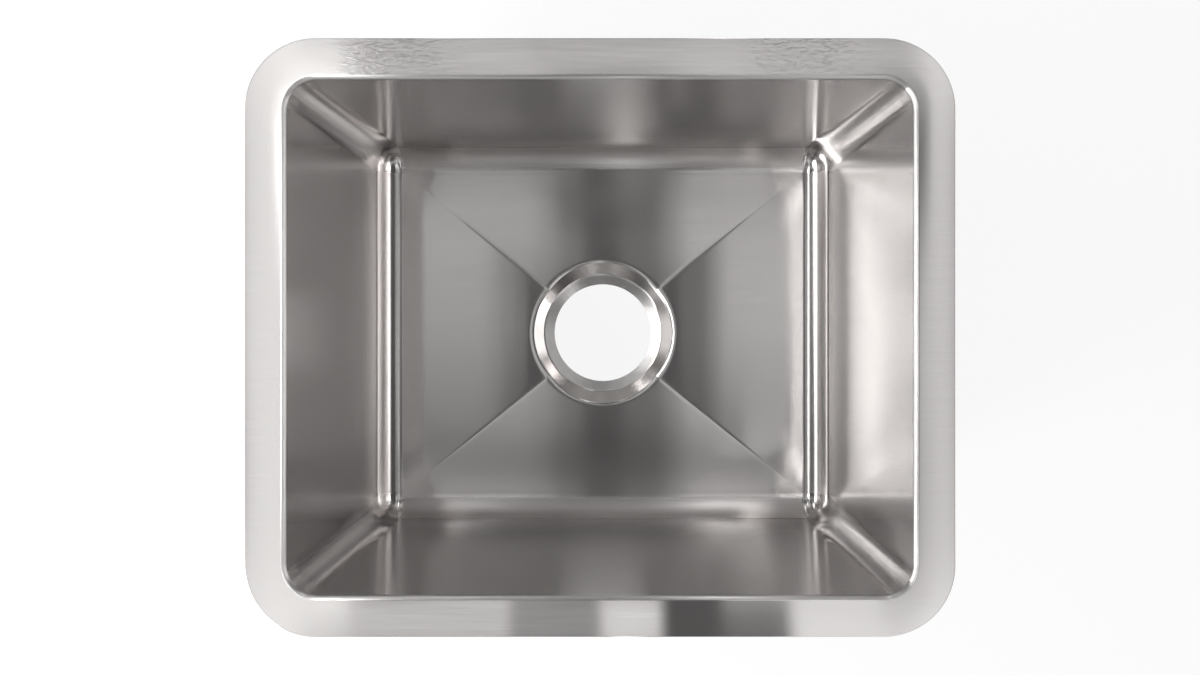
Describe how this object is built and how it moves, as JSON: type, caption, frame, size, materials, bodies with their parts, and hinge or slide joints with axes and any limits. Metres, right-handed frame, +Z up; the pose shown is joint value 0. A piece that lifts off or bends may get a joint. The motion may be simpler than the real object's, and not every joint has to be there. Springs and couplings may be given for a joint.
{
  "type": "bar sink",
  "caption": "Undermount bar sink: a deep rectangular brushed-steel bowl with a flat rim, rounded corners, a creased floor falling to a recessed drain hole, and sound pads beneath.",
  "frame": {"origin": "middle of the rim's upper face, on the axis of the drain", "axes": "+X along the longer side, +Y to the back, +Z up out of the bowl"},
  "size_m": [0.456, 0.384, 0.2162],
  "materials": {
    "stainless_steel": "satin, brushed along the length",
    "undercoat": "matte, sprayed texture",
    "sound_pad": "matte"
  },
  "bodies": {
    "root": {"rim_flange": "stainless_steel", "floor_pan": "stainless_steel", "front_wall": "stainless_steel", "back_wall": "stainless_steel", "left_wall": "stainless_steel", "right_wall": "stainless_steel", "back_right_corner": "stainless_steel", "back_left_corner": "stainless_steel", "front_left_corner": "stainless_steel", "front_right_corner": "stainless_steel", "undercoat": "undercoat", "front_wall_pad": "sound_pad", "back_wall_pad": "sound_pad", "left_wall_pad": "sound_pad", "right_wall_pad": "sound_pad", "left_floor_pad": "sound_pad", "right_floor_pad": "sound_pad"}
  },
  "joints": []
}
